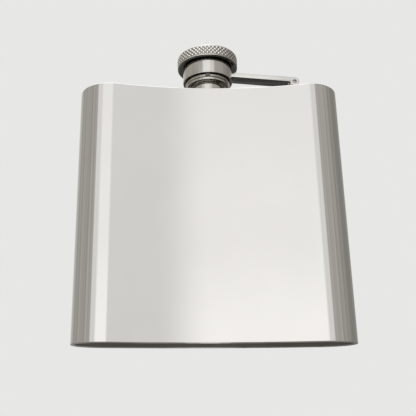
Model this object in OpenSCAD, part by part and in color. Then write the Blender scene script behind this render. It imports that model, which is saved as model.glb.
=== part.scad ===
// Hip flask with a captive screw cap.
// The kidney body stands upright on its base. +Z runs up the neck, the hollow
// front face looks along -Y, and the cap swings over to +X on its arm.
// Origin: middle of the base, in the middle of the outside box.

/* [Body] */
// Width of the body
body_w = 93; // [84:1:100]
// Height of the body, from the base to the shoulder plate
body_h = 89.2; // [70:0.1:130]
// Depth of the body over the hollow front and the round back
body_d = 25; // [24.5:0.1:27]
// Radius of the rounded ends
end_r = 11; // [10:0.1:11.5]
// How far the front face is hollowed at its middle
front_hollow = 3.8; // [2.5:0.1:5]
// Thickness of the wrapped sheet
wall = 0.7; // [0.5:0.1:1]
// Thickness of the shoulder plate and the base plate
plate_t = 0.8; // [0.6:0.1:1.2]

/* [Neck] */
// Distance of the neck behind the middle of the box
neck_y = 0.8; // [-1:0.1:2]
// Outside radius of the neck and of its thread
neck_r = 5.9; // [5.6:0.1:6]
// Radius of the pouring bore
bore_r = 4.5; // [3.8:0.1:4.8]
// Height of the neck above the shoulder plate
neck_h = 9.4; // [8.8:0.1:10]
// Pitch of the thread
pitch = 1.5; // [1.25:0.25:1.5]
// Depth of the thread
thread_d = 0.5; // [0.3:0.05:0.55]

/* [Cap] */
// Radius of the knurled head
head_r = 11.3; // [10.5:0.1:11.6]
// Height of the knurled head
head_h = 4.2; // [3.8:0.1:5]
// Height of the cap's lower rim above the shoulder plate
rim_z = 4.7; // [4.4:0.1:5]
// Outside radius of the stem inside the collar
stem_r = 7.75; // [7.6:0.05:7.9]
// Clearance between the cap's thread and the neck's thread
thread_gap = 0.2; // [0.2:0.05:0.3]
// Thickness of the seal disc
seal_t = 1.2; // [0.8:0.1:1.4]

/* [Collar and arm] */
// Outside radius of the collar
collar_r = 9.2; // [8.9:0.1:9.6]
// Height of the collar
collar_h = 5.55; // [5.2:0.05:5.6]
// Running clearance between the collar and the stem
collar_gap = 0.1; // [0.06:0.02:0.14]
// Width of the arm
arm_w = 5; // [4.5:0.1:6]
// Thickness of the arm
arm_t = 1.8; // [1.4:0.1:2]
// Angle at which the arm climbs from its hinge to the collar
arm_rise = 4.7; // [3.5:0.1:5.5]

/* [Hinge] */
// Distance of the hinge pin from the neck's axis
pin_x = 32.3; // [30:0.1:34]
// Height of the hinge pin above the shoulder plate
pin_z = 6.75; // [6.5:0.05:7]
// Radius of the hinge pin
pin_r = 0.7; // [0.6:0.05:0.8]
// Running clearance of the pin in its holes
pin_gap = 0.05; // [0.02:0.01:0.08]
// Outside radius of the hinge eyes
eye_r = 1.65; // [1.5:0.05:1.8]
// Width of the bracket's eye, between the two eyes of the arm
lug_w = 1.8; // [1.6:0.1:2]

/* [Hidden] */
$fn = 96;
cut = 0.01;                                   // a cutter reaches this far past a face

// Kidney outline: two end circles, a hollow front arc and a round back arc. The arcs are
// tangent to circles smaller by lap, so that each runs into its end circle cleanly.
lap = 0.02;
end_x = body_w / 2 - end_r;
end_y = end_r - body_d / 2;
tangent_r = end_r - lap;
front_mid = front_hollow - body_d / 2;
front_rise = end_y - front_mid;
front_arc_r = (pow(end_x, 2) + pow(front_rise, 2) - pow(tangent_r, 2)) / (2 * (tangent_r - front_rise));
front_arc_y = front_mid - front_arc_r;
back_drop = body_d / 2 - end_y;
back_arc_r = (pow(end_x, 2) + pow(back_drop, 2) - pow(tangent_r, 2)) / (2 * (back_drop - tangent_r));
back_arc_y = body_d / 2 - back_arc_r;
reach = 1.2;                                  // the tangent lines reach past the back

// Neck
shoulder = body_h;
neck_top = shoulder + neck_h;
flange_r = neck_r + 1.6;
plain_h = rim_z + 0.6;                        // the plain stretch below the thread
neck_turns = floor((neck_h - plain_h - 0.4) / pitch);
crest_w = pitch * 0.2;

// Cap, from its lower rim up
rim = shoulder + rim_z;
lip_h = 0.85;                                 // below the snap ring's groove
clip_h = 0.85;
clip_gap = 0.05;                              // the clip's play in its groove
groove_r = stem_r - 0.6;
clip_in_r = groove_r + clip_gap;
clip_out_r = stem_r + 0.55;
clip_mouth = 1.3;
clip_turn = -3.5;                             // the clip's mouth, counted from the front
clip_z = rim + lip_h + clip_gap;
collar_z = clip_z + clip_h + 0.2;
head_z = collar_z + collar_h + 0.4;
head_wall = 0.8;
flange_t = 1;
seal_z = neck_top + 0.03;
seal_r = neck_r + 0.1;
female_r = neck_r + thread_gap;
seat_r = female_r + thread_d;
stem_turns = floor((seal_z - rim - 0.8) / pitch);
collar_in_r = stem_r + collar_gap;

// Hinge and arm
hinge_z = shoulder + pin_z;
hole_r = pin_r + pin_gap;
side_gap = 0.15;
eye_reach = eye_r + 0.4;                      // the fork is open this far round the pin
arm_in = collar_in_r + 0.6;                   // the arm ends inside the collar's wall
arm_len = (pin_x - arm_in) / cos(arm_rise);
pin_len = arm_w - 0.3;
foot_w = 6;
foot_t = 0.8;
web_w = 2.4;

steel = [0.80, 0.80, 0.79];
bright = [0.88, 0.88, 0.87];
dark_steel = [0.55, 0.55, 0.54];
seal_white = [0.93, 0.93, 0.90];

// The part of the outline between the two end circles, bounded by their tangent lines
module fan() {
    back_y = back_arc_y + reach * (end_y - back_arc_y);
    polygon([[0, front_arc_y], [end_x, end_y], [reach * end_x, back_y],
             [-reach * end_x, back_y], [-end_x, end_y]]);
}

// The kidney outline, drawn in by the distance inset
module kidney(inset) {
    for (side = [-1, 1])
        translate([side * end_x, end_y]) circle(r = end_r - inset);
    intersection() {
        difference() {
            translate([0, back_arc_y]) circle(r = back_arc_r - inset);
            translate([0, front_arc_y]) circle(r = front_arc_r + inset);
        }
        fan();
    }
}

// A ring of rectangular section round the neck's axis
module ring(r_out, r_in, z, h) {
    translate([0, neck_y, z]) difference() {
        cylinder(r = r_out, h = h);
        translate([0, 0, -cut]) cylinder(r = r_in, h = h + 2 * cut);
    }
}

// One turn of thread as a closed ridge, from r_root to r_crest
module ridge(r_root, r_crest, z) {
    half = pitch / 2;
    translate([0, neck_y, z]) rotate_extrude()
        polygon([[r_root, half - crest_w], [r_crest, crest_w / 2],
                 [r_crest, -crest_w / 2], [r_root, crest_w - half]]);
}

// A bar across the hinge, along Y, centred on the neck's plane
module across(r, w) {
    translate([pin_x, neck_y + w / 2, hinge_z]) rotate([90, 0, 0]) cylinder(r = r, h = w);
}

// The arm's own frame: at the pin, with +X running along the arm to the collar
module on_arm() {
    translate([pin_x, neck_y, hinge_z]) rotate([0, 180 + arm_rise, 0]) mirror([0, 0, 1]) children();
}

module body_wrap() {
    color(bright) linear_extrude(shoulder) difference() {
        kidney(0);
        kidney(wall);
    }
}

module top_plate() {
    color(steel) translate([0, 0, shoulder - plate_t]) linear_extrude(plate_t) difference() {
        kidney(wall);
        translate([0, neck_y]) circle(r = neck_r);
    }
}

module bottom_plate() {
    color(steel) linear_extrude(plate_t) kidney(wall);
}

module neck() {
    root_r = neck_r - thread_d;
    bevel = 0.4;
    color(bright) {
        difference() {
            translate([0, neck_y, 0]) rotate_extrude() polygon([
                [0, shoulder - 2 * plate_t], [flange_r, shoulder - 2 * plate_t],
                [flange_r, shoulder - plate_t], [neck_r, shoulder - plate_t],
                [neck_r, shoulder + plain_h], [root_r, shoulder + plain_h + bevel],
                [root_r, neck_top - bevel], [root_r - bevel, neck_top], [0, neck_top]]);
            translate([0, neck_y, 0]) cylinder(r = bore_r, h = 2 * shoulder);
        }
        for (turn = [1 : neck_turns])
            ridge(root_r - cut, neck_r, shoulder + plain_h + (turn - 0.3) * pitch);
    }
}

module hinge_bracket() {
    color(steel) difference() {
        union() {
            translate([pin_x - foot_w / 2, neck_y - arm_w / 2, shoulder]) cube([foot_w, arm_w, foot_t]);
            translate([pin_x - web_w / 2, neck_y - lug_w / 2, shoulder]) cube([web_w, lug_w, pin_z]);
            across(eye_r, lug_w);
        }
        across(hole_r, arm_w);
    }
}

module hinge_pin() {
    color(dark_steel) across(pin_r, pin_len);
}

module arm_strap() {
    color(bright) difference() {
        union() {
            on_arm() translate([0, -arm_w / 2, eye_r - arm_t]) cube([arm_len, arm_w, arm_t]);
            across(eye_r, arm_w);
        }
        across(hole_r, arm_w + 2);
        across(eye_reach, lug_w + 2 * side_gap);
        on_arm() translate([-eye_reach, -lug_w / 2 - side_gap, -eye_reach])
            cube([eye_reach, lug_w + 2 * side_gap, 2 * eye_reach]);
        translate([0, neck_y, 0]) cylinder(r = collar_r, h = 2 * shoulder);
    }
}

module collar_ring() {
    color(steel) ring(collar_r, collar_in_r, collar_z, collar_h);
}

module cap_head() {
    bevel = 0.3;
    top = head_z + head_h;
    color(steel) translate([0, neck_y, 0]) rotate_extrude() polygon([
        [0, top], [head_r - bevel, top], [head_r, top - bevel],
        [head_r, head_z + bevel], [head_r - bevel, head_z], [head_r - head_wall, head_z],
        [head_r - head_wall, top - head_wall], [0, top - head_wall]]);
}

module cap_stem() {
    flange = head_r - head_wall;
    color(dark_steel) {
        difference() {
            translate([0, neck_y, 0]) rotate_extrude() polygon([
                [0, rim], [stem_r, rim], [stem_r, clip_z - clip_gap],
                [groove_r, clip_z - clip_gap], [groove_r, clip_z + clip_h + clip_gap],
                [stem_r, clip_z + clip_h + clip_gap], [stem_r, head_z], [flange, head_z],
                [flange, head_z + flange_t], [0, head_z + flange_t]]);
            translate([0, neck_y, rim - cut]) cylinder(r = seat_r, h = seal_z + seal_t - rim + cut);
        }
        for (turn = [1 : stem_turns])
            ridge(seat_r + cut, female_r, rim + (turn - 0.3) * pitch);
    }
}

module seal_disc() {
    color(seal_white) translate([0, neck_y, seal_z]) cylinder(r = seal_r, h = seal_t);
}

module snap_ring() {
    color(dark_steel) difference() {
        ring(clip_out_r, clip_in_r, clip_z, clip_h);
        translate([0, neck_y, 0]) rotate(clip_turn)
            translate([-clip_mouth / 2, -2 * clip_out_r, 0]) cube([clip_mouth, 2 * clip_out_r, 2 * shoulder]);
    }
}

body_wrap();
top_plate();
bottom_plate();
neck();
hinge_bracket();
hinge_pin();
arm_strap();
collar_ring();
cap_head();
cap_stem();
seal_disc();
snap_ring();
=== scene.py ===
"""Hip flask with a captive screw cap: the visible pieces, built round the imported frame.

Metres throughout. +Z runs up the neck, the hollow front face looks along -Y and the
hinge stands on the +X side. Every piece takes the place of one frame node and moves
with that node's body.
"""

import math

import bmesh
import bpy
from bpy.props import FloatProperty, FloatVectorProperty, IntProperty, PointerProperty
from mathutils import Matrix, Vector


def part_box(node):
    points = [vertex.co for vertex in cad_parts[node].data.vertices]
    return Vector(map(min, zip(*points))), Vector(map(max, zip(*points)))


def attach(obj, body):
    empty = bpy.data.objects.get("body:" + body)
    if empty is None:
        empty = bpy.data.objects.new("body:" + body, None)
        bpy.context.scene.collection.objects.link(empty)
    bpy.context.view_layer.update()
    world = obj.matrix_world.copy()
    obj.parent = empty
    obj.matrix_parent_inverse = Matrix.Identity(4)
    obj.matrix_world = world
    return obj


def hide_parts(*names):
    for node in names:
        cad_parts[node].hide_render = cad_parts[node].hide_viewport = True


bl_info = {
    "name": "Hip Flask",
    "version": (1, 0, 0),
    "blender": (4, 5, 0),
    "location": "View3D > Sidebar > Hip Flask",
    "description": "Builds a polished steel hip flask with a knurled cap on a hinged arm",
    "category": "Add Mesh",
}

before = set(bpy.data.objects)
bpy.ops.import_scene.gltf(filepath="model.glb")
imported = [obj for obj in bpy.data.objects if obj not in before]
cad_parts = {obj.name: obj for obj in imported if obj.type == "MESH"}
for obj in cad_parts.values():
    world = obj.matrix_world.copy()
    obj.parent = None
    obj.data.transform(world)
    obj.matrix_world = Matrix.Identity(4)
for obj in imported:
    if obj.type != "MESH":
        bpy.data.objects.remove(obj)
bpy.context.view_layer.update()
MM = 0.001
WRAP_LOW, WRAP_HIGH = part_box("body_wrap")
NECK_LOW, NECK_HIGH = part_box("neck")
HEAD_LOW, HEAD_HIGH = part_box("cap_head")
STEM_LOW, STEM_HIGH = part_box("cap_stem")
COLLAR_LOW, COLLAR_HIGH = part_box("collar_ring")
CLIP_LOW, CLIP_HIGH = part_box("snap_ring")
SEAL_LOW, SEAL_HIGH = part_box("seal_disc")
PIN_LOW, PIN_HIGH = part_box("hinge_pin")
BRACKET_LOW, BRACKET_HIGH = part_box("hinge_bracket")
NECK_Y = (NECK_LOW.y + NECK_HIGH.y) / 2
PIN_CENTRE = (PIN_LOW + PIN_HIGH) / 2
SHOULDER_Z = WRAP_HIGH.z


# ---------------------------------------------------------------- sizes and colours


class FlaskBodySizes(bpy.types.PropertyGroup):
    """Sizes of the kidney body"""

    end_radius: FloatProperty(
        name="End Radius", description="Radius of the rounded ends",
        default=11 * MM, unit="LENGTH", precision=5)
    front_hollow: FloatProperty(
        name="Front Hollow", description="How far the front face is hollowed at its middle",
        default=3.8 * MM, unit="LENGTH", precision=5)
    sheet: FloatProperty(
        name="Sheet", description="Thickness of the wrapped sheet",
        default=0.7 * MM, unit="LENGTH", precision=5)
    plate: FloatProperty(
        name="Plate", description="Thickness of the shoulder plate and the base plate",
        default=0.8 * MM, unit="LENGTH", precision=5)
    rim_radius: FloatProperty(
        name="Rim Radius", description="Rounding of the polished rims of the body",
        default=0.32 * MM, unit="LENGTH", precision=5)


class FlaskCapSizes(bpy.types.PropertyGroup):
    """Sizes of the neck, the thread, the cap and the collar"""

    neck_radius: FloatProperty(
        name="Neck Radius", description="Outside radius of the neck and its thread",
        default=5.9 * MM, unit="LENGTH", precision=5)
    bore_radius: FloatProperty(
        name="Bore Radius", description="Radius of the pouring bore",
        default=4.5 * MM, unit="LENGTH", precision=5)
    pitch: FloatProperty(
        name="Thread Pitch", description="Rise of the thread in one turn",
        default=1.5 * MM, unit="LENGTH", precision=5)
    thread_depth: FloatProperty(
        name="Thread Depth", description="Depth of the thread",
        default=0.5 * MM, unit="LENGTH", precision=5)
    stem_radius: FloatProperty(
        name="Stem Radius", description="Outside radius of the stem inside the collar",
        default=7.75 * MM, unit="LENGTH", precision=5)
    wall: FloatProperty(
        name="Wall", description="Wall thickness of the head",
        default=0.8 * MM, unit="LENGTH", precision=5)
    knurl_count: IntProperty(
        name="Knurls", description="Diamonds round the head", default=48, min=24)
    knurl_depth: FloatProperty(
        name="Knurl Depth", description="Depth of the diamond knurl",
        default=0.3 * MM, unit="LENGTH", precision=5)


class FlaskHingeSizes(bpy.types.PropertyGroup):
    """Sizes of the hinge and the arm"""

    eye_radius: FloatProperty(
        name="Eye Radius", description="Outside radius of the hinge eyes",
        default=1.65 * MM, unit="LENGTH", precision=5)
    hole_radius: FloatProperty(
        name="Hole Radius", description="Radius of the holes round the pin",
        default=0.75 * MM, unit="LENGTH", precision=5)
    arm_width: FloatProperty(
        name="Arm Width", description="Width of the arm",
        default=5 * MM, unit="LENGTH", precision=5)
    arm_thickness: FloatProperty(
        name="Arm Thickness", description="Thickness of the arm",
        default=1.8 * MM, unit="LENGTH", precision=5)
    arm_rise: FloatProperty(
        name="Arm Rise", description="Angle at which the arm climbs to the collar",
        default=math.radians(4.7), subtype="ANGLE")
    lug_width: FloatProperty(
        name="Lug Width", description="Width of the bracket's eye between the arm's two eyes",
        default=1.8 * MM, unit="LENGTH", precision=5)


class FlaskLooks(bpy.types.PropertyGroup):
    """Colours of the finishes and the studio"""

    mirror_tint: FloatVectorProperty(
        name="Mirror Steel", description="Colour of the polished body",
        default=(0.83, 0.82, 0.80), subtype="COLOR", size=3, min=0, max=1)
    turned_tint: FloatVectorProperty(
        name="Turned Steel", description="Colour of the lathe-turned neck, collar and stem",
        default=(0.80, 0.78, 0.74), subtype="COLOR", size=3, min=0, max=1)
    pressed_tint: FloatVectorProperty(
        name="Pressed Steel", description="Colour of the arm and the hinge",
        default=(0.84, 0.83, 0.80), subtype="COLOR", size=3, min=0, max=1)
    knurl_tint: FloatVectorProperty(
        name="Knurled Steel", description="Colour of the knurled head",
        default=(0.95, 0.92, 0.87), subtype="COLOR", size=3, min=0, max=1)
    spring_tint: FloatVectorProperty(
        name="Spring Steel", description="Colour of the retaining clip",
        default=(0.60, 0.57, 0.52), subtype="COLOR", size=3, min=0, max=1)
    seal_tint: FloatVectorProperty(
        name="Seal", description="Colour of the seal disc",
        default=(0.86, 0.85, 0.80), subtype="COLOR", size=3, min=0, max=1)
    floor_tint: FloatVectorProperty(
        name="Floor", description="Colour of the floor",
        default=(0.84, 0.84, 0.83), subtype="COLOR", size=3, min=0, max=1)


# ---------------------------------------------------------------- outlines


def fillet(corners, steps=5):
    """A closed outline from (a, b, radius) corners. Each corner turns into an arc, with a
    guard point close behind each end of it, so that the flats beside it shade flat."""
    points = []
    for i, (a, b, radius) in enumerate(corners):
        here = Vector((a, b))
        back = Vector(corners[i - 1][:2]) - here
        ahead = Vector(corners[(i + 1) % len(corners)][:2]) - here
        if radius <= 0:
            points.append((a, b))
            continue
        half = back.angle(ahead) / 2
        reach = min(radius / math.tan(half), 0.46 * back.length, 0.46 * ahead.length)
        u, v = back.normalized(), ahead.normalized()
        middle = here + (u + v).normalized() * reach / math.cos(half)
        start, end = here + u * reach - middle, here + v * reach - middle
        first = math.atan2(start.y, start.x)
        turn = math.remainder(math.atan2(end.y, end.x) - first, math.tau)
        points.append(tuple(here + u * reach * 1.06))
        for k in range(steps + 1):
            angle = first + turn * k / steps
            points.append((middle.x + start.length * math.cos(angle),
                           middle.y + start.length * math.sin(angle)))
        points.append(tuple(here + v * reach * 1.06))
    return points


def kidney(inset):
    """The body's outline drawn in by inset, counterclockwise from the left end of the front."""
    sizes = bpy.context.scene.flask_body
    r = sizes.end_radius
    end_x = WRAP_HIGH.x - r
    end_y = WRAP_LOW.y + r
    front_mid = WRAP_LOW.y + sizes.front_hollow
    rise = end_y - front_mid
    front_r = (end_x**2 + rise**2 - r**2) / (2 * (r - rise))
    front_y = front_mid - front_r
    drop = WRAP_HIGH.y - end_y
    back_r = (end_x**2 + drop**2 - r**2) / (2 * (drop - r))
    back_y = WRAP_HIGH.y - back_r
    front_half = math.atan2(end_x, end_y - front_y)
    back_half = math.atan2(end_x, end_y - back_y)
    wide, round_end = 110, 60
    points = []
    for k in range(wide):
        t = front_half * (2 * k / wide - 1)
        points.append(((front_r + inset) * math.sin(t), front_y + (front_r + inset) * math.cos(t)))
    first, last = -math.pi / 2 - front_half, math.pi / 2 - back_half
    for k in range(round_end):
        t = first + (last - first) * k / round_end
        points.append((end_x + (r - inset) * math.cos(t), end_y + (r - inset) * math.sin(t)))
    for k in range(wide):
        t = back_half * (1 - 2 * k / wide)
        points.append(((back_r - inset) * math.sin(t), back_y + (back_r - inset) * math.cos(t)))
    first, last = math.pi / 2 + back_half, 3 * math.pi / 2 + front_half
    for k in range(round_end):
        t = first + (last - first) * k / round_end
        points.append(((r - inset) * math.cos(t) - end_x, end_y + (r - inset) * math.sin(t)))
    return points


# ---------------------------------------------------------------- mesh making


def tidy(mesh):
    """Welds points that meet, drops slivers and turns every face outwards."""
    bmesh.ops.remove_doubles(mesh, verts=mesh.verts, dist=2e-7)
    bmesh.ops.dissolve_degenerate(mesh, edges=mesh.edges, dist=1e-8)
    bmesh.ops.recalc_face_normals(mesh, faces=mesh.faces)
    return mesh


def loft(rings):
    """A closed skin over rings of points, the last ring joined to the first."""
    mesh = bmesh.new()
    rows = [[mesh.verts.new(p) for p in ring] for ring in rings]
    for row, after in zip(rows, rows[1:] + rows[:1]):
        for k in range(len(row)):
            n = (k + 1) % len(row)
            mesh.faces.new((row[k], row[n], after[n], after[k]))
    return tidy(mesh)


def spin(section, count, shape=None):
    """A (radius, z) section turned round the neck's axis. shape may alter a point by angle."""
    rings = []
    for k in range(count):
        angle = math.tau * k / count
        ring = []
        for r, z in section:
            if shape:
                r, z = shape(angle, r, z)
            ring.append((r * math.cos(angle), NECK_Y + r * math.sin(angle), z))
        rings.append(ring)
    return loft(rings)


def extrude_y(outline, low, high):
    """An (x, z) outline stood along Y from low to high, its two ends closed."""
    mesh = bmesh.new()
    front = [mesh.verts.new((x, low, z)) for x, z in outline]
    back = [mesh.verts.new((x, high, z)) for x, z in outline]
    mesh.faces.new(front)
    mesh.faces.new(back[::-1])
    for k in range(len(front)):
        n = (k + 1) % len(front)
        mesh.faces.new((front[k], back[k], back[n], front[n]))
    return tidy(mesh)


def circle(x, z, r, count=48):
    """Points round a circle in the XZ plane."""
    return [(x + r * math.cos(math.tau * k / count), z + r * math.sin(math.tau * k / count))
            for k in range(count)]


def as_object(name, mesh):
    """A mesh object of that name from a finished bmesh."""
    data = bpy.data.meshes.new(name)
    mesh.to_mesh(data)
    mesh.free()
    obj = bpy.data.objects.new(name, data)
    bpy.context.scene.collection.objects.link(obj)
    return obj


def carve(obj, tools):
    """Applies (operation, bmesh) tools to obj one after another with exact booleans."""
    for operation, mesh in tools:
        cutter = as_object("cutter", mesh)
        step = obj.modifiers.new("carve", "BOOLEAN")
        step.operation, step.object, step.solver = operation, cutter, "EXACT"
        apply_modifiers(obj)
        bpy.data.objects.remove(cutter)
    return obj


def apply_modifiers(obj):
    """Replaces obj's mesh by the result of its modifiers."""
    graph = bpy.context.evaluated_depsgraph_get()
    data = bpy.data.meshes.new_from_object(obj.evaluated_get(graph))
    obj.modifiers.clear()
    obj.data = data


def soften(obj, width, segments=3):
    """Rounds obj's sharp edges."""
    step = obj.modifiers.new("soften", "BEVEL")
    step.width, step.segments, step.limit_method = width, segments, "ANGLE"
    step.angle_limit, step.harden_normals = math.radians(40), False
    apply_modifiers(obj)
    return obj


def place(obj, node, body, slot, sharp=38):
    """Finishes a piece: shading, finish, body, and the node it stands for."""
    data = obj.data
    data.polygons.foreach_set("use_smooth", [True] * len(data.polygons))
    data.set_sharp_from_angle(angle=math.radians(sharp))
    data.materials.clear()
    data.materials.append(finish(slot))
    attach(obj, body)
    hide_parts(node)
    return obj


# ---------------------------------------------------------------- finishes


class Nodes:
    """A node tree under construction, with short ways to add and join nodes."""

    def __init__(self, tree):
        self.tree = tree

    def node(self, kind, inputs=(), **settings):
        made = self.tree.nodes.new(kind)
        for key, value in settings.items():
            setattr(made, key, value)
        for key, value in dict(inputs).items():
            if isinstance(value, bpy.types.NodeSocket):
                self.tree.links.new(value, made.inputs[key])
            else:
                made.inputs[key].default_value = value
        return made

    def maths(self, operation, first, second=0.0):
        return self.node("ShaderNodeMath", {0: first, 1: second}, operation=operation).outputs[0]

    def vectors(self, operation, first, second):
        return self.node("ShaderNodeVectorMath", {0: first, 1: second},
                         operation=operation).outputs[0]

    def scaled(self, colour, amount):
        return self.node("ShaderNodeVectorMath", {0: colour, "Scale": amount},
                         operation="SCALE").outputs[0]

    def span(self, value, low, high, start=0.3, end=0.7):
        """value from start..end turned into low..high."""
        return self.node("ShaderNodeMapRange", {
            "Value": value, "From Min": start, "From Max": end,
            "To Min": low, "To Max": high}).outputs[0]

    def ramp(self, value, stops, easing="LINEAR"):
        """The colour at value among (place, colour) stops, in rising order."""
        made = self.node("ShaderNodeValToRGB", {"Fac": value})
        made.color_ramp.interpolation = easing
        elements = made.color_ramp.elements
        while len(elements) < len(stops):
            elements.new(0.5)
        for element, (at, colour) in zip(elements, stops):
            element.position, element.color = at, (*colour, 1)
        return made.outputs["Color"]


class Finish(Nodes):
    """A material under construction."""

    def __init__(self, name):
        self.material = bpy.data.materials.new(name)
        self.material.use_nodes = True
        super().__init__(self.material.node_tree)
        self.shader = self.tree.nodes["Principled BSDF"]
        self.place = self.node("ShaderNodeTexCoord").outputs["Object"]

    def noise(self, scale, stretch=(1, 1, 1), detail=3.0, roughness=0.5):
        """Grain of about 1/scale metres, stretched along the axes by stretch."""
        spread = self.node("ShaderNodeMapping", {
            "Vector": self.place, "Scale": tuple(scale / s for s in stretch)})
        return self.node("ShaderNodeTexNoise", {
            "Vector": spread.outputs[0], "Scale": 1.0, "Detail": detail,
            "Roughness": roughness}).outputs["Fac"]

    def lathe_lines(self, scale):
        """Fine rings round the neck's axis, as a turning tool leaves them."""
        parts = self.node("ShaderNodeSeparateXYZ", {"Vector": self.place}).outputs
        shifted = self.node("ShaderNodeMath", {0: parts["Y"], 1: -NECK_Y}, operation="ADD")
        radius = self.node("ShaderNodeCombineXYZ", {"X": parts["X"], "Y": shifted.outputs[0]})
        length = self.node("ShaderNodeVectorMath", {0: radius.outputs[0]}, operation="LENGTH")
        rings = self.node("ShaderNodeCombineXYZ", {"X": length.outputs["Value"], "Y": parts["Z"]})
        return self.node("ShaderNodeTexNoise", {
            "Vector": rings.outputs[0], "Scale": scale, "Detail": 4.0,
            "Roughness": 0.6}).outputs["Fac"]

    def colour(self, value, first, second):
        """A colour that goes from first to second as value rises."""
        return self.ramp(value, [(0.3, first), (0.7, second)])

    def painted_shade_below(self, colour, share):
        """colour, dimmed to share on faces that look straight down: painted shade on the
        undersides.
        """
        normal = self.node("ShaderNodeTexCoord").outputs["Normal"]
        down = self.node("ShaderNodeSeparateXYZ", {"Vector": normal}).outputs["Z"]
        amount = self.span(down, 1.0, share, -0.6, -0.92)
        return self.scaled(colour, amount)

    def bump(self, height, strength, distance, under=None):
        inputs = {"Height": height, "Strength": strength, "Distance": distance}
        if under is not None:
            inputs["Normal"] = under
        return self.node("ShaderNodeBump", inputs).outputs["Normal"]

    def set(self, **inputs):
        for key, value in inputs.items():
            socket = self.shader.inputs[key.replace("_", " ")]
            if isinstance(value, bpy.types.NodeSocket):
                self.tree.links.new(value, socket)
            else:
                socket.default_value = value
        return self.material


def darker(tint, share):
    """tint dimmed to share of itself."""
    return tuple(share * c for c in tint)


def mirror_steel(tint):
    """Buffed sheet: nearly a mirror, with faint upright polishing lines and fine swirls."""
    f = Finish("mirror_steel_finish")
    lines = f.noise(2600, stretch=(1, 1, 60), detail=2.0)
    cloud = f.noise(45, detail=4.0)
    wear = f.noise(420, stretch=(1, 1, 3), detail=5.0, roughness=0.65)
    swell = f.bump(f.noise(28, stretch=(1, 1, 2.5), detail=1.0), 0.05, 0.0006)
    return f.set(
        Base_Color=f.colour(cloud, darker(tint, 0.97), tint), Metallic=1.0,
        Roughness=f.span(wear, 0.015, 0.05),
        Normal=f.bump(lines, 0.02, 0.00002, swell))


def turned_steel(tint):
    """Lathe-turned and polished: rings round the axis, slightly duller in the cuts, with painted
    shade on faces that look down.
    """
    f = Finish("turned_steel_finish")
    rings = f.lathe_lines(9000)
    stain = f.noise(220, detail=5.0, roughness=0.6)
    # the base colour carries painted shade on faces that look down
    return f.set(
        Base_Color=f.painted_shade_below(f.colour(stain, darker(tint, 0.90), tint), 0.08), Metallic=1.0,
        Roughness=f.span(rings, 0.07, 0.16),
        Normal=f.bump(rings, 0.10, 0.00002))


def pressed_steel(tint):
    """Tumbled stampings: hairlines along the arm, small dings, soft shine, and painted shade on
    faces that look down.
    """
    f = Finish("pressed_steel_finish")
    hairs = f.noise(3200, stretch=(30, 1, 1), detail=3.0)
    dings = f.noise(700, detail=2.0)
    # the base colour carries painted shade on faces that look down
    return f.set(
        Base_Color=f.painted_shade_below(
            f.colour(f.noise(300, detail=4.0), darker(tint, 0.92), tint), 0.08), Metallic=1.0,
        Roughness=f.span(hairs, 0.13, 0.24),
        Normal=f.bump(hairs, 0.10, 0.00002, f.bump(dings, 0.05, 0.00006)))


def knurled_steel(tint):
    """Rolled knurl: bright crests over valleys darkened with painted shade, random grime, and
    painted shade on faces that look down.
    """
    f = Finish("knurled_steel_finish")
    grime = f.noise(900, detail=5.0, roughness=0.7)
    rings = f.lathe_lines(7000)
    # crest is 0 in the valleys and 1 on the crests; the ramp below turns it into painted shade in
    # the valleys, with random grime added
    crest = f.node("ShaderNodeAttribute", attribute_name="crest").outputs["Fac"]
    grime_and_valley_shade = f.maths("ADD", f.span(grime, -0.10, 0.10), crest)
    tone = f.ramp(grime_and_valley_shade, [(0.22, darker(tint, 0.30)), (0.60, tint)])
    return f.set(
        Base_Color=f.painted_shade_below(tone, 0.10), Metallic=1.0,
        Roughness=f.span(grime, 0.28, 0.18),
        Normal=f.bump(rings, 0.10, 0.00002))


def spring_steel(tint):
    """Drawn spring wire: darker, with draw lines and a tempered brown cast."""
    f = Finish("spring_steel_finish")
    draw = f.lathe_lines(12000)
    temper = f.noise(260, detail=3.0)
    return f.set(
        Base_Color=f.colour(temper, (tint[0] * 0.82, tint[1] * 0.78, tint[2] * 0.72), tint),
        Metallic=1.0, Roughness=f.span(draw, 0.18, 0.32),
        Normal=f.bump(draw, 0.15, 0.00002))


def seal_white(tint):
    """Punched polyethylene: waxy, with a little light inside and a fine moulded grain."""
    f = Finish("seal_white_finish")
    grain = f.noise(4000, detail=3.0)
    cloud = f.noise(400, detail=3.0)
    return f.set(
        Base_Color=f.colour(cloud, darker(tint, 0.93), tint),
        Roughness=f.span(grain, 0.38, 0.52), Subsurface_Weight=0.15,
        Subsurface_Radius=(0.002, 0.002, 0.0018), Subsurface_Scale=0.4,
        Normal=f.bump(grain, 0.12, 0.00003))


def finish(name):
    """The finish for that slot, made once."""
    looks = bpy.context.scene.flask_looks
    if name + "_finish" in bpy.data.materials:
        return bpy.data.materials[name + "_finish"]
    make, tint = {
        "mirror_steel": (mirror_steel, looks.mirror_tint),
        "turned_steel": (turned_steel, looks.turned_tint),
        "pressed_steel": (pressed_steel, looks.pressed_tint),
        "knurled_steel": (knurled_steel, looks.knurl_tint),
        "spring_steel": (spring_steel, looks.spring_tint),
        "seal_white": (seal_white, looks.seal_tint),
    }[name]
    return make(tuple(tint))


# ---------------------------------------------------------------- operators


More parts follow.
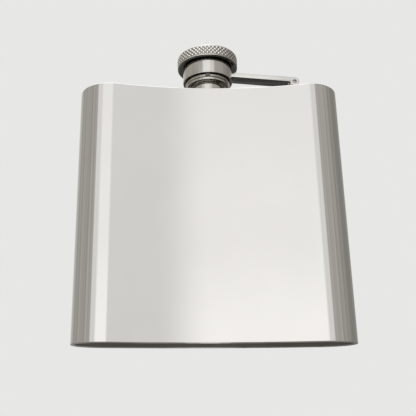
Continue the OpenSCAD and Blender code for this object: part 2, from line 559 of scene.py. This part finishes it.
class FLASK_OT_body(bpy.types.Operator):
    """Build the wrapped body, the shoulder plate and the base plate"""

    bl_idname = "flask.body"
    bl_label = "Body"

    def execute(self, context):
        sizes = context.scene.flask_body
        steel = "mirror_steel"
        top, rim, sheet = SHOULDER_Z, sizes.rim_radius, sizes.sheet
        section = fillet([(0, 0, rim), (0, top, rim), (sheet, top, 0.1 * MM),
                          (sheet, 0, 0.1 * MM)])
        rings = [[(x, y, z) for x, y in kidney(inset)] for inset, z in section]
        place(as_object("body_shell", loft(rings)), "body_wrap", "flask", steel)
        self.plate("shoulder_plate", "top_plate", top - sizes.plate, top - 0.06 * MM, steel,
                   context.scene.flask_cap.neck_radius)
        self.plate("base_plate", "bottom_plate", 0.12 * MM, sizes.plate, steel, 0)
        return {"FINISHED"}

    def plate(self, name, node, low, high, steel, hole):
        """A kidney plate inside the wrap, with a hole for the neck where hole is above 0."""
        edge = kidney(bpy.context.scene.flask_body.sheet)
        middle = Vector((0, NECK_Y))
        shares = [0, 0.25, 0.6, 0.9, 0.975, 0.99]
        rows = [(s, low) for s in shares] + [(1, low + 0.15 * MM), (1, high - 0.15 * MM)]
        rows += [(s, high) for s in reversed(shares)]
        rings = []
        for share, z in rows:
            ring = []
            for point in edge:
                out = Vector(point) - middle
                r = hole + share * (out.length - hole)
                spot = middle + out.normalized() * r
                ring.append((spot.x, spot.y, z))
            rings.append(ring)
        place(as_object(name, loft(rings)), node, "flask", steel)


class FLASK_OT_neck(bpy.types.Operator):
    """Turn the neck, with its helical thread and its weld to the shoulder"""

    bl_idname = "flask.neck"
    bl_label = "Neck"

    def execute(self, context):
        cap = context.scene.flask_cap
        r, bore, depth, pitch = cap.neck_radius, cap.bore_radius, cap.thread_depth, cap.pitch
        flange, low, top = NECK_HIGH.x, NECK_LOW.z, NECK_HIGH.z
        plate_low = low + context.scene.flask_body.plate
        start, weld_r = SHOULDER_Z + 5.3 * MM, 0.75 * MM
        section = fillet([(bore, low, 0.1 * MM), (flange, low, 0.1 * MM),
                          (flange, plate_low, 0), (r, plate_low, 0)])
        weld = [(r + weld_r * (1 - math.sin(t)), SHOULDER_Z + weld_r * (1 - math.cos(t)))
                for t in [math.radians(a) for a in range(0, 91, 15)]]
        section += [(r, SHOULDER_Z - 0.1 * MM)] + weld + [(r, SHOULDER_Z + 1 * MM)]
        rows = 44
        section += [(r, start - 0.1 * MM)] + [
            (r, start + (top - 0.35 * MM - start) * k / rows) for k in range(rows + 1)]
        section += fillet([(r - depth, top - 0.3 * MM, 0), (r - depth - 0.02 * MM, top, 0.3 * MM),
                           (bore, top, 0.25 * MM), (bore, top - 1 * MM, 0)])
        first = start + 0.3 * MM

        def thread(angle, radius, z):
            if not start < z < top - 0.34 * MM or radius < r - 0.01 * MM:
                return radius, z
            turn = (z - first) / pitch - angle / math.tau
            near = abs(turn - round(turn))
            ridge = max(0.0, min(1.0, (0.36 - near) / 0.22))
            fade = min(1.0, max(0.0, (z - start) / (0.3 * MM))) * min(
                1.0, max(0.0, (top - z) / (0.9 * MM) - 0.35))
            return r - depth * (1 - ridge * fade), z

        mesh = spin(section, 160, thread)
        place(as_object("threaded_neck", mesh), "neck", "flask", "turned_steel")
        return {"FINISHED"}


class FLASK_OT_hinge(bpy.types.Operator):
    """Build the hinge bracket and its pin"""

    bl_idname = "flask.hinge"
    bl_label = "Hinge"

    def execute(self, context):
        sizes = context.scene.flask_hinge
        x, z = PIN_CENTRE.x, PIN_CENTRE.z
        half_lug, foot_top = sizes.lug_width / 2, SHOULDER_Z + 0.8 * MM
        foot = fillet([(BRACKET_LOW.x, SHOULDER_Z, 0), (BRACKET_HIGH.x, SHOULDER_Z, 0),
                       (BRACKET_HIGH.x, foot_top, 0), (BRACKET_LOW.x, foot_top, 0)])
        obj = as_object("hinge_bracket_piece", extrude_y(foot, BRACKET_LOW.y, BRACKET_HIGH.y))
        web = [(x - 1.2 * MM, SHOULDER_Z + 0.2 * MM), (x + 1.2 * MM, SHOULDER_Z + 0.2 * MM),
               (x + 1.2 * MM, z), (x - 1.2 * MM, z)]
        low, high = NECK_Y - half_lug, NECK_Y + half_lug
        carve(obj, [
            ("UNION", extrude_y(web, low, high)),
            ("UNION", extrude_y(circle(x, z, sizes.eye_radius), low, high)),
            ("DIFFERENCE", extrude_y(circle(x, z, sizes.hole_radius), low - MM, high + MM))])
        soften(obj, 0.14 * MM)
        place(obj, "hinge_bracket", "flask", "pressed_steel")
        self.pin()
        return {"FINISHED"}

    def pin(self):
        """The pin, its two ends lightly peened."""
        r, half = (PIN_HIGH.x - PIN_LOW.x) / 2, (PIN_HIGH.y - PIN_LOW.y) / 2
        section = [(0, -half), (0.45 * r, -half + 0.02 * MM), (0.78 * r, -half + 0.08 * MM),
                   (0.95 * r, -half + 0.2 * MM), (r, -half + 0.34 * MM)]
        section += [(a, -b) for a, b in reversed(section)]
        count = 40
        rings = []
        for k in range(count):
            angle = math.tau * k / count
            rings.append([(PIN_CENTRE.x + a * math.cos(angle), PIN_CENTRE.y + b,
                           PIN_CENTRE.z + a * math.sin(angle)) for a, b in section])
        place(as_object("hinge_rivet", loft(rings)), "hinge_pin", "pin", "spring_steel")


class FLASK_OT_arm(bpy.types.Operator):
    """Build the forked arm and the collar that it carries"""

    bl_idname = "flask.arm"
    bl_label = "Arm and Collar"

    def execute(self, context):
        sizes = context.scene.flask_hinge
        x, z, r = PIN_CENTRE.x, PIN_CENTRE.z, sizes.eye_radius
        rise, half = sizes.arm_rise, sizes.arm_width / 2
        collar_r = COLLAR_HIGH.x
        along = Vector((-math.cos(rise), math.sin(rise)))
        up = Vector((math.sin(rise), math.cos(rise)))
        hub = Vector((x, z))
        reach = (x - collar_r + 0.8 * MM) / math.cos(rise)
        under = r - sizes.arm_thickness
        top_in, top_out = hub + up * r, hub + up * r + along * reach
        low_out = hub + up * under + along * reach
        low_in = hub + up * under + along * math.sqrt(r**2 - under**2)
        first = math.atan2(*(low_in - hub).yx)
        last = math.atan2(*(top_in - hub).yx)
        turn = (last - first) % math.tau
        eye = [(x + r * math.cos(first + turn * k / 30), z + r * math.sin(first + turn * k / 30))
               for k in range(31)]
        outline = [tuple(low_out)] + eye + [tuple(top_out)]
        obj = as_object("cap_arm", extrude_y(outline, NECK_Y - half, NECK_Y + half))
        slot_half, open_r = sizes.lug_width / 2 + 0.15 * MM, r + 0.4 * MM
        slot = circle(x, z, open_r, 64)
        mouth = [(x - open_r * 0.2, z - 2 * open_r), (x + 2 * open_r, z - 2 * open_r),
                 (x + 2 * open_r, z + 2 * open_r), (x - open_r * 0.2, z + 2 * open_r)]
        low, high = NECK_Y - slot_half, NECK_Y + slot_half
        carve(obj, [
            ("DIFFERENCE", extrude_y(slot, low, high)),
            ("DIFFERENCE", extrude_y(mouth, low, high)),
            ("DIFFERENCE", extrude_y(circle(x, z, sizes.hole_radius), -0.02, 0.02))])
        soften(obj, 0.16 * MM)
        place(obj, "arm_strap", "arm", "pressed_steel")
        self.collar()
        return {"FINISHED"}

    def collar(self):
        """The collar, its four edges rounded."""
        out_r, low, high = COLLAR_HIGH.x, COLLAR_LOW.z, COLLAR_HIGH.z
        in_r = bpy.context.scene.flask_cap.stem_radius + 0.1 * MM
        section = fillet([(in_r, low, 0.15 * MM), (out_r, low, 0.28 * MM),
                          (out_r, high, 0.28 * MM), (in_r, high, 0.15 * MM)])
        place(as_object("collar", spin(section, 144)), "collar_ring", "arm",
              "turned_steel")


class FLASK_OT_cap(bpy.types.Operator):
    """Build the knurled head, the threaded stem, the seal and the retaining clip"""

    bl_idname = "flask.cap"
    bl_label = "Cap"

    def execute(self, context):
        self.head(context.scene.flask_cap)
        self.stem(context.scene.flask_cap)
        self.seal()
        self.clip(context.scene.flask_cap)
        return {"FINISHED"}

    def head(self, cap):
        """The knurled head: a cup closed from below by the stem's flange."""
        r, low, top, wall = HEAD_HIGH.x, HEAD_LOW.z, HEAD_HIGH.z, cap.wall
        band_low, band_high = low + 0.34 * MM, top - 0.42 * MM
        inner = r - wall
        rows = 40
        section = [(0, top), (0.55 * r, top), (0.86 * r, top), (r - 0.60 * MM, top)]
        section += [(r - 0.40 * MM, top - 0.03 * MM), (r - 0.26 * MM, top - 0.12 * MM),
                    (r - 0.20 * MM, top - 0.26 * MM)]
        section += [(r, band_high + (band_low - band_high) * k / rows) for k in range(rows + 1)]
        section += [(r - 0.14 * MM, low + 0.26 * MM), (r - 0.12 * MM, low + 0.12 * MM),
                    (r - 0.24 * MM, low + 0.02 * MM), (r - 0.36 * MM, low), (inner, low),
                    (inner, top - wall), (0, top - wall)]
        count, depth = cap.knurl_count, cap.knurl_depth
        length = math.tau * r / count

        def knurl(angle, radius, z):
            if radius < r - 0.001 * MM:
                return radius, z
            wave = angle * count / math.tau
            a = abs((wave + z / length) % 1 - 0.5) * 2
            b = abs((wave - z / length) % 1 - 0.5) * 2
            edge = min(1.0, (z - band_low) / (0.18 * MM), (band_high - z) / (0.18 * MM))
            crest = min(1.0, 1.15 * min(a, b)) * max(0.0, edge)
            return r - depth * (1 - crest), z

        obj = as_object("knurled_head", spin(section, count * 8, knurl))
        # crest records how high each point stands on the knurl; the knurled finish paints shade
        # into the valleys from it
        crest = obj.data.attributes.new("crest", "FLOAT", "POINT")
        for vertex, mark in zip(obj.data.vertices, crest.data):
            radius = math.hypot(vertex.co.x, vertex.co.y - NECK_Y)
            banded = band_low <= vertex.co.z <= band_high and radius > inner + 0.1 * MM
            mark.value = 1 - (r - radius) / depth if banded else 1.0
        place(obj, "cap_head", "cap", "knurled_steel", 70)

    def stem(self, cap):
        """The stem: a groove for the clip outside, a helical thread inside."""
        r, low, top = cap.stem_radius, STEM_LOW.z, STEM_HIGH.z
        flange, flange_low = HEAD_HIGH.x - cap.wall, top - 1 * MM
        groove_r, groove_low = r - 0.6 * MM, CLIP_LOW.z - 0.05 * MM
        groove_high = CLIP_HIGH.z + 0.05 * MM
        female_r = cap.neck_radius + 0.2 * MM
        seat_r = female_r + cap.thread_depth
        seat_z = SEAL_HIGH.z
        outside = fillet([
            (seat_r - 0.02 * MM, low, 0.2 * MM), (r, low, 0.22 * MM), (r, groove_low, 0.1 * MM),
            (groove_r, groove_low, 0.05 * MM), (groove_r, groove_high, 0.05 * MM),
            (r, groove_high, 0.08 * MM), (r, flange_low, 0.3 * MM),
            (flange, flange_low, 0.12 * MM), (flange, top, 0.05 * MM)])
        rows = 60
        inside = [(0, top), (0, seat_z), (seat_r, seat_z)]
        first, last = seat_z - 0.4 * MM, low + 0.35 * MM
        inside += [(seat_r, first + (last - first) * k / rows) for k in range(rows + 1)]

        def thread(angle, radius, z):
            if abs(radius - seat_r) > 0.001 * MM or not last <= z <= first:
                return radius, z
            turn = (z - low - 1.05 * MM) / cap.pitch - angle / math.tau
            near = abs(turn - round(turn))
            ridge = max(0.0, min(1.0, (0.36 - near) / 0.22))
            fade = max(0.0, min(1.0, (z - last) / (0.3 * MM), (first - 1.6 * MM - z) / (0.4 * MM)))
            return seat_r - cap.thread_depth * ridge * fade, z

        mesh = spin(outside + inside, 144, thread)
        place(as_object("threaded_stem", mesh), "cap_stem", "cap", "turned_steel")

    def seal(self):
        """The seal disc, with the ring that the neck has pressed into it."""
        r, low, high = SEAL_HIGH.x, SEAL_LOW.z, SEAL_HIGH.z
        section = [(0, high), (r - 0.15 * MM, high), (r, high - 0.15 * MM), (r, low + 0.18 * MM),
                   (r - 0.05 * MM, low + 0.06 * MM), (r - 0.18 * MM, low), (5.7 * MM, low),
                   (5.45 * MM, low + 0.03 * MM), (5.2 * MM, low + 0.06 * MM),
                   (4.7 * MM, low + 0.06 * MM), (4.5 * MM, low + 0.03 * MM),
                   (4.3 * MM, low), (2 * MM, low), (0, low)]
        place(as_object("seal", spin(section, 96)), "seal_disc", "cap", "seal_white")

    def clip(self, cap):
        """The retaining clip: an open ring with rounded ends, its mouth towards the front."""
        low, high = CLIP_LOW.z, CLIP_HIGH.z
        out_r, in_r = cap.stem_radius + 0.55 * MM, cap.stem_radius - 0.55 * MM
        section = fillet([(in_r, low, 0.1 * MM), (out_r, low, 0.2 * MM),
                          (out_r, high, 0.2 * MM), (in_r, high, 0.1 * MM)])
        middle = ((in_r + out_r) / 2, (low + high) / 2)
        half_mouth, aside = 0.66 * MM, math.radians(3.5)
        gap = math.asin(half_mouth / middle[0])
        first = -math.pi / 2 - aside + gap
        sweep = math.tau - 2 * gap
        ends = [(0.0, 0.0), (0.0, 0.7), (0.002, 0.9), (0.006, 1.0)]
        count = 90
        steps = ends + [(k / count, 1.0) for k in range(1, count)]
        steps += [(1 - share, size) for share, size in reversed(ends)]
        mesh = bmesh.new()
        rows = []
        for share, size in steps:
            angle = first + sweep * share
            row = []
            for r, z in section:
                r = middle[0] + (r - middle[0]) * size
                z = middle[1] + (z - middle[1]) * size
                row.append(mesh.verts.new((r * math.cos(angle), NECK_Y + r * math.sin(angle), z)))
            rows.append(row)
        for row, after in zip(rows, rows[1:]):
            for k in range(len(row)):
                n = (k + 1) % len(row)
                mesh.faces.new((row[k], row[n], after[n], after[k]))
        place(as_object("retaining_clip", tidy(mesh)), "snap_ring", "cap",
              "spring_steel")


def grey(value, warm=0.0):
    return (value * (1 + warm), value, value * (1 - 1.4 * warm))


def round_to(degrees):
    """Place on a ramp that runs all round, with the front at its middle."""
    return degrees / 360 + 0.5


def up(degrees):
    """Place on a ramp that runs from straight down to straight up."""
    return degrees / 180 + 0.5


def room_tones(n, turn, lift):
    """What stands round the flask: a white screen in front of the hollow face, its middle
    brighter, a paler wall behind, and warm grey walls with faint upright folds at the sides."""
    around = n.maths("ADD", n.maths("MULTIPLY", turn, 1 / math.tau), 0.5)
    walls = n.ramp(around, [(round_to(a), grey(v, warm)) for a, v, warm in (
        (-180, 0.62, 0.02), (-150, 0.56, 0.03), (-135, 0.44, 0.04), (-115, 0.36, 0.05),
        (-52, 0.38, 0.05), (-48.5, 0.39, 0.05), (-44.5, 0.76, 0.01), (25, 0.76, 0.01),
        (30, 0.41, 0.04), (48, 0.38, 0.05), (90, 0.30, 0.05), (112, 0.24, 0.06),
        (132, 0.26, 0.06), (150, 0.50, 0.03), (180, 0.62, 0.02))], "EASE")
    screen = n.ramp(around, [(round_to(a), grey(v, 0.012)) for a, v in (
        (-33, 0), (-25, 1), (5, 1), (13, 0))], "EASE")
    folds = n.node("ShaderNodeTexNoise", {
        "Vector": n.node("ShaderNodeCombineXYZ", {
            "X": turn, "Y": n.maths("MULTIPLY", lift, 0.2)}).outputs[0],
        "Scale": 5.5, "Detail": 3.0, "Roughness": 0.62}).outputs["Fac"]
    aside = n.span(n.maths("ABSOLUTE", n.maths("ADD", turn, math.radians(9))), 0.0, 1.0,
                   math.radians(36), math.radians(44))
    level = n.maths("ADD", 1.0, n.maths("MULTIPLY", aside, n.span(folds, -0.26, 0.26)))
    corner = n.maths("MULTIPLY", n.span(lift, 0.0, 0.5, up(28.6), up(29.8)), n.maths(
        "MULTIPLY", n.span(turn, 0.0, 1.0, math.radians(-21), math.radians(-26)),
        n.span(turn, 0.0, 1.0, math.radians(-50), math.radians(-45))))
    level = n.maths("MULTIPLY", level, n.maths("SUBTRACT", 1.0, corner))
    glow = n.ramp(lift, [(up(a), grey(v)) for a, v in (
        (-4, 0), (-2, 0.24), (5, 0.32), (16, 0.22), (28, 0.17), (55, 0.10))], "EASE")
    return n.vectors("ADD", n.scaled(walls, level), n.vectors("MULTIPLY", screen, glow))


class FLASK_OT_stage(bpy.types.Operator):
    """Set up the pale floor, the soft studio light and the camera"""

    bl_idname = "flask.stage"
    bl_label = "Stage"

    def execute(self, context):
        self.floor(context)
        self.light(context)
        self.studio(context)
        self.camera(context)
        context.scene.view_settings.view_transform = "Standard"
        return {"FINISHED"}

    def floor(self, context):
        """A wide pale floor round the foot of the flask, open under the base. To glossy rays it
        glows with the room's tones, a painted reflection that polished steel sees in it, and from
        below, as the camera looks, it lets the view through."""
        near, far, gap = 0.3, 4.0, 0.05 * MM
        mesh = bmesh.new()
        edge = kidney(1.2 * MM)
        rows = []
        for reach in (0, near, far):
            row = []
            for x, y in edge:
                out = Vector((x, y, 0)).normalized() * reach
                row.append(mesh.verts.new((x + out.x, y + out.y, -gap)))
            rows.append(row)
        for row, after in zip(rows, rows[1:]):
            for k in range(len(row)):
                n = (k + 1) % len(row)
                mesh.faces.new((row[k], after[k], after[n], row[n]))
        obj = as_object("floor", mesh)
        f = Finish("pale_floor")
        grain = f.noise(60, detail=4.0)
        tint = tuple(context.scene.flask_looks.floor_tint)
        material = f.set(
            Base_Color=f.colour(grain, darker(tint, 0.985), tint),
            Roughness=f.span(grain, 0.55, 0.7), Normal=f.bump(grain, 0.03, 0.0002))
        parts = f.node("ShaderNodeSeparateXYZ", {"Vector": f.place}).outputs
        turn = f.maths("ARCTAN2", parts["X"], f.maths("MULTIPLY", parts["Y"], -1.0))
        apart = f.node("ShaderNodeVectorMath", {0: f.place}, operation="LENGTH").outputs["Value"]
        # painted reflection: glossy rays see the floor glow with the room's tones, dimmer close to
        # the flask
        sheen = f.scaled(room_tones(f, turn, up(4)), f.span(apart, 0.62, 0.96, 0.03, 0.4))
        mirrored = f.node("ShaderNodeEmission", {"Color": sheen})
        under = f.node("ShaderNodeBsdfTransparent")
        side = f.node("ShaderNodeNewGeometry").outputs["Backfacing"]
        gloss = f.node("ShaderNodeLightPath").outputs["Is Glossy Ray"]
        top = f.node("ShaderNodeMixShader", {
            0: gloss, 1: f.shader.outputs[0], 2: mirrored.outputs[0]})
        mix = f.node("ShaderNodeMixShader", {0: side, 1: top.outputs[0], 2: under.outputs[0]})
        out = f.tree.nodes["Material Output"]
        f.tree.links.new(mix.outputs[0], out.inputs["Surface"])
        obj.data.materials.append(material)

    def light(self, context):
        """One broad soft box overhead, a little to the front and left."""
        data = bpy.data.lights.new("soft_box", "AREA")
        data.shape, data.size, data.size_y, data.energy = "RECTANGLE", 1.2, 1.0, 4.5
        data.color = (1.0, 0.985, 0.96)
        lamp = bpy.data.objects.new("soft_box", data)
        context.scene.collection.objects.link(lamp)
        lamp.location = (-0.15, -0.05, 0.95)
        lamp.rotation_euler = (Vector((0, 0, 0.05)) - lamp.location).to_track_quat(
            "-Z", "Y").to_euler()

    def studio(self, context):
        """The room as light from all round, with plain pale air for the camera."""
        world = bpy.data.worlds.new("studio")
        context.scene.world = world
        world.use_nodes = True
        world.node_tree.nodes.clear()
        w = Nodes(world.node_tree)
        way = w.node("ShaderNodeTexCoord").outputs["Generated"]
        parts = w.node("ShaderNodeSeparateXYZ", {"Vector": way}).outputs
        turn = w.maths("ARCTAN2", parts["X"], w.maths("MULTIPLY", parts["Y"], -1.0))
        lift = w.maths("ADD", w.maths("MULTIPLY", w.maths("ARCSINE", parts["Z"]), 1 / math.pi), 0.5)
        fade = w.ramp(lift, [
            (0.0, grey(0.06)), (up(-4), grey(0.10, 0.05)), (up(-2.2), grey(0.98)),
            (up(28), grey(1.0)), (up(42), grey(0.9)), (up(60), grey(0.75))], "EASE")
        room = w.vectors("MULTIPLY", room_tones(w, turn, lift), fade)
        path = w.node("ShaderNodeLightPath").outputs

        def glow(colour):
            return w.node("ShaderNodeBackground", {"Color": colour, "Strength": 1.0}).outputs[0]

        def either(share, first, second):
            return w.node("ShaderNodeMixShader", {0: share, 1: first, 2: second}).outputs[0]

        matt = either(path["Is Diffuse Ray"], glow(room), glow((0.78, 0.78, 0.77, 1)))
        seen = either(path["Is Camera Ray"], matt, glow((0.80, 0.80, 0.79, 1)))
        w.node("ShaderNodeOutputWorld", {"Surface": seen})

    def camera(self, context):
        """Low in front of the flask, looking up the hollow face to the cap."""
        data = bpy.data.cameras.new("camera")
        data.sensor_width, data.sensor_fit = 36.0, "HORIZONTAL"
        data.lens, data.shift_x, data.shift_y = 52.63, 0.0761, -0.0057
        data.clip_start, data.clip_end = 0.01, 50.0
        camera = bpy.data.objects.new("camera", data)
        context.scene.collection.objects.link(camera)
        pitch, yaw, roll = (math.radians(a) for a in (17.444, -1.098, -0.315))
        ahead = Vector((-math.sin(yaw) * math.cos(pitch), math.cos(yaw) * math.cos(pitch),
                        math.sin(pitch)))
        right = Vector((math.cos(yaw), math.sin(yaw), 0))
        above = right.cross(ahead)
        right, above = (math.cos(roll) * right + math.sin(roll) * above,
                        math.cos(roll) * above - math.sin(roll) * right)
        turn = Matrix((right, above, -ahead)).transposed().to_4x4()
        camera.matrix_world = Matrix.Translation((-0.01592, -0.2030, -0.01590)) @ turn
        context.scene.camera = camera


class FLASK_PT_sidebar(bpy.types.Panel):
    """Hip flask pieces and their sizes"""

    bl_label = "Hip Flask"
    bl_space_type = "VIEW_3D"
    bl_region_type = "UI"
    bl_category = "Hip Flask"

    def draw(self, context):
        layout = self.layout
        for group in GROUPS:
            box = layout.box()
            settings = getattr(context.scene, group)
            for name in settings.bl_rna.properties.keys():
                if name not in ("rna_type", "name"):
                    box.prop(settings, name)
        for operator in BUILD_ORDER:
            layout.operator(operator.bl_idname)


GROUPS = {"flask_body": FlaskBodySizes, "flask_cap": FlaskCapSizes,
          "flask_hinge": FlaskHingeSizes, "flask_looks": FlaskLooks}
BUILD_ORDER = (FLASK_OT_body, FLASK_OT_neck, FLASK_OT_hinge, FLASK_OT_arm, FLASK_OT_cap,
               FLASK_OT_stage)


def register():
    for cls in (*GROUPS.values(), *BUILD_ORDER, FLASK_PT_sidebar):
        bpy.utils.register_class(cls)
    for name, cls in GROUPS.items():
        setattr(bpy.types.Scene, name, PointerProperty(type=cls))


def unregister():
    for name in GROUPS:
        delattr(bpy.types.Scene, name)
    for cls in reversed((*GROUPS.values(), *BUILD_ORDER, FLASK_PT_sidebar)):
        bpy.utils.unregister_class(cls)


def main():
    register()
    for operator in BUILD_ORDER:
        group, call = operator.bl_idname.split(".")
        if getattr(getattr(bpy.ops, group), call)() != {"FINISHED"}:
            raise RuntimeError(f"{operator.bl_label} was not built")


if __name__ == "__main__":
    main()
